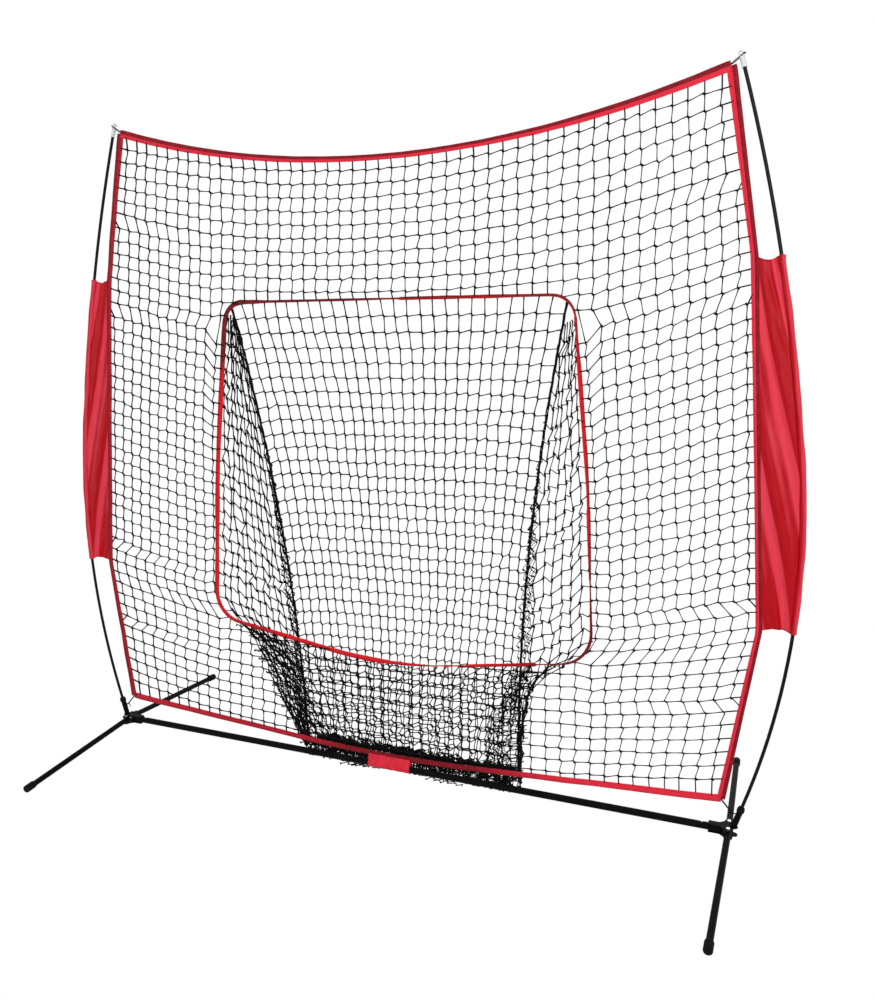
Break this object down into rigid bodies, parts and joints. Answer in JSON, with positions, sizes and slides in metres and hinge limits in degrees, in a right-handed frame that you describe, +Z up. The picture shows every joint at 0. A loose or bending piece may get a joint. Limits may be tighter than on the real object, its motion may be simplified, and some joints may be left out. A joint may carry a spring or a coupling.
{
  "type": "pitching target net",
  "caption": "Upright practice net on a folding tube base, with bowed side poles, red bindings and side panels, and a netted ball pocket behind a large opening.",
  "frame": {"origin": "on the ground, under the middle of the crossbar", "axes": "+X across the net to its right seen from the front, +Y from the front to the pocket behind, +Z up"},
  "size_m": [2.524, 1.0508, 2.2122],
  "materials": {
    "powder_black": "satin powder coat",
    "zinc": "bright zinc plate",
    "spring_steel": "blued spring steel",
    "rubber_black": "matte",
    "collar_black": "matte moulded",
    "fibreglass_black": "smooth satin",
    "ferrule_steel": "drawn tube",
    "cap_clear": "cloudy translucent moulding",
    "binding_red": "folded polyester webbing, sewn",
    "panel_red": "satin nylon cloth",
    "net_black": "knotted polyester cord",
    "elastic_black": "braided elastic cord",
    "strap_red": "hook-and-loop strap"
  },
  "bodies": {
    "frame_and_net": {"crossbar_left": "powder_black", "crossbar_right": "powder_black", "bar_spring": "spring_steel", "hub_bracket_left": "powder_black", "hub_bracket_right": "powder_black", "hub_spring_left": "spring_steel", "hub_spring_right": "spring_steel", "pivot_bolts": "zinc", "pivot_nuts": "zinc", "pole_socket_left": "powder_black", "pole_socket_right": "powder_black", "socket_collar_left": "collar_black", "socket_collar_right": "collar_black", "corner_hook_left": "powder_black", "corner_hook_right": "powder_black", "pole_lower_left": "fibreglass_black", "pole_lower_right": "fibreglass_black", "pole_upper_left": "fibreglass_black", "pole_upper_right": "fibreglass_black", "pole_ferrule_left": "ferrule_steel", "pole_ferrule_right": "ferrule_steel", "pole_cap_left": "cap_clear", "pole_cap_right": "cap_clear", "binding_top": "binding_red", "binding_bottom": "binding_red", "binding_left": "binding_red", "binding_right": "binding_red", "net_top": "net_black", "net_bottom": "net_black", "net_left": "net_black", "net_right": "net_black", "opening_binding": "binding_red", "pocket_back": "net_black", "pocket_front": "net_black", "pocket_floor": "net_black", "pocket_side_left": "net_black", "pocket_side_right": "net_black", "pocket_seam_left": "net_black", "pocket_seam_right": "net_black", "side_panel_left": "panel_red", "side_panel_right": "panel_red", "pole_sleeve_left": "panel_red", "pole_sleeve_right": "panel_red", "upper_loop_left": "elastic_black", "upper_loop_right": "elastic_black", "lower_loop_left": "elastic_black", "lower_loop_right": "elastic_black", "bar_strap": "strap_red"},
    "leg_front_left_body": {"leg_front_left": "powder_black", "foot_front_left": "rubber_black"},
    "leg_rear_left_body": {"leg_rear_left": "powder_black", "foot_rear_left": "rubber_black"},
    "hub_button_left_body": {"hub_button_left": "zinc"},
    "leg_front_right_body": {"leg_front_right": "powder_black", "foot_front_right": "rubber_black"},
    "leg_rear_right_body": {"leg_rear_right": "powder_black", "foot_rear_right": "rubber_black"},
    "hub_button_right_body": {"hub_button_right": "zinc"},
    "bar_button_body": {"bar_button": "zinc"}
  },
  "joints": [
    {"name": "fold_front_left", "type": "hinge", "parent": "frame_and_net", "child": "leg_front_left_body", "pos_m": [-1.104, -0.0225, 0.043], "axis": [0, 0, 1], "range_deg": [0, 89]},
    {"name": "fold_rear_left", "type": "hinge", "parent": "frame_and_net", "child": "leg_rear_left_body", "pos_m": [-1.104, 0.0225, 0.043], "axis": [0, 0, -1], "range_deg": [0, 89]},
    {"name": "press_hub_button_left", "type": "slide", "parent": "frame_and_net", "child": "hub_button_left_body", "axis": [0, 0, -1], "range_m": [0, 0.0026], "stiffness_N_per_m": 1500, "springref_m": -0.003, "deforming": ["hub_spring_left"]},
    {"name": "fold_front_right", "type": "hinge", "parent": "frame_and_net", "child": "leg_front_right_body", "pos_m": [1.104, -0.0225, 0.043], "axis": [0, 0, -1], "range_deg": [0, 89]},
    {"name": "fold_rear_right", "type": "hinge", "parent": "frame_and_net", "child": "leg_rear_right_body", "pos_m": [1.104, 0.0225, 0.043], "axis": [0, 0, 1], "range_deg": [0, 89]},
    {"name": "press_hub_button_right", "type": "slide", "parent": "frame_and_net", "child": "hub_button_right_body", "axis": [0, 0, -1], "range_m": [0, 0.0026], "stiffness_N_per_m": 1500, "springref_m": -0.003, "deforming": ["hub_spring_right"]},
    {"name": "press_bar_button", "type": "slide", "parent": "frame_and_net", "child": "bar_button_body", "axis": [0, 0, 1], "range_m": [0, 0.0026], "stiffness_N_per_m": 1500, "springref_m": -0.003, "deforming": ["bar_spring"]}
  ]
}
